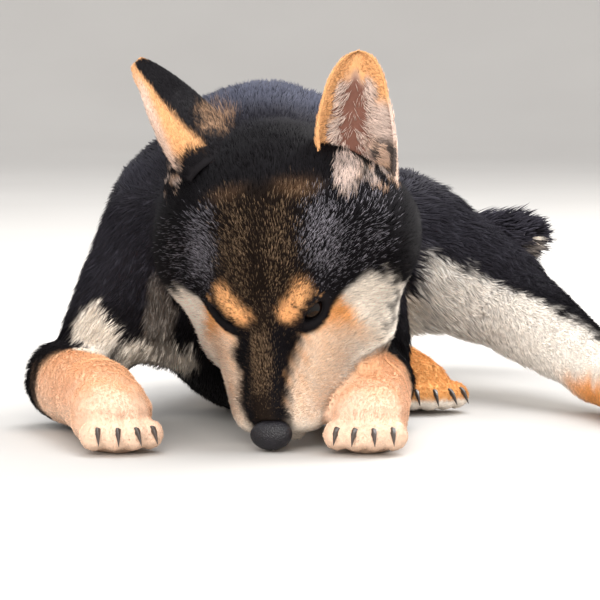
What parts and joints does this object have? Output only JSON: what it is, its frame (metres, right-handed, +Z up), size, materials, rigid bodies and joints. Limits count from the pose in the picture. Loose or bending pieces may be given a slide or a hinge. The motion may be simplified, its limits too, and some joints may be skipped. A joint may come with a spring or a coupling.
{
  "type": "shiba inu",
  "caption": "Black-and-tan shiba inu puppy lying on its chest with its nose to the ground, hindquarters rolled onto one hip and tail laid to the side; a still life-size figure.",
  "frame": {"origin": "on the floor, under the middle of the dog's overall length and width", "axes": "+Z up from the floor; the dog faces -Y, nose first, and its left side is towards +X"},
  "size_m": [0.3996, 0.5094, 0.2204],
  "materials": {
    "coat_black": "dense short fur, blue-black with brown ticking, tan eyebrows and cheeks",
    "coat_tan": "dense short fur, orange tan fading to cream",
    "nose_leather": "moist pebbled black skin",
    "eye_brown": "wet, dark brown",
    "claw_horn": "dark horn"
  },
  "bodies": {
    "root": {"belly": "coat_black", "chest": "coat_black", "claw_front_left_1": "claw_horn", "claw_front_left_2": "claw_horn", "claw_front_left_3": "claw_horn", "claw_front_left_4": "claw_horn", "claw_front_right_1": "claw_horn", "claw_front_right_2": "claw_horn", "claw_front_right_3": "claw_horn", "claw_front_right_4": "claw_horn", "claw_hind_left_1": "claw_horn", "claw_hind_left_2": "claw_horn", "claw_hind_left_3": "claw_horn", "claw_hind_left_4": "claw_horn", "claw_hind_right_1": "claw_horn", "claw_hind_right_2": "claw_horn", "claw_hind_right_3": "claw_horn", "claw_hind_right_4": "claw_horn", "ear_left": "coat_black", "ear_right": "coat_black", "eye_left": "eye_brown", "eye_right": "eye_brown", "forearm_left": "coat_tan", "forearm_right": "coat_tan", "front_left_paw": "coat_tan", "front_right_paw": "coat_tan", "head": "coat_black", "hind_left_paw": "coat_tan", "hind_right_paw": "coat_tan", "lower_jaw": "coat_tan", "muzzle": "coat_black", "neck": "coat_black", "nose": "nose_leather", "rump": "coat_black", "shank_left": "coat_tan", "shank_right": "coat_tan", "tail_base": "coat_black", "tail_middle": "coat_black", "tail_tip": "coat_black", "thigh_left": "coat_black", "upper_arm_left": "coat_black", "upper_arm_right": "coat_black"}
  },
  "joints": []
}
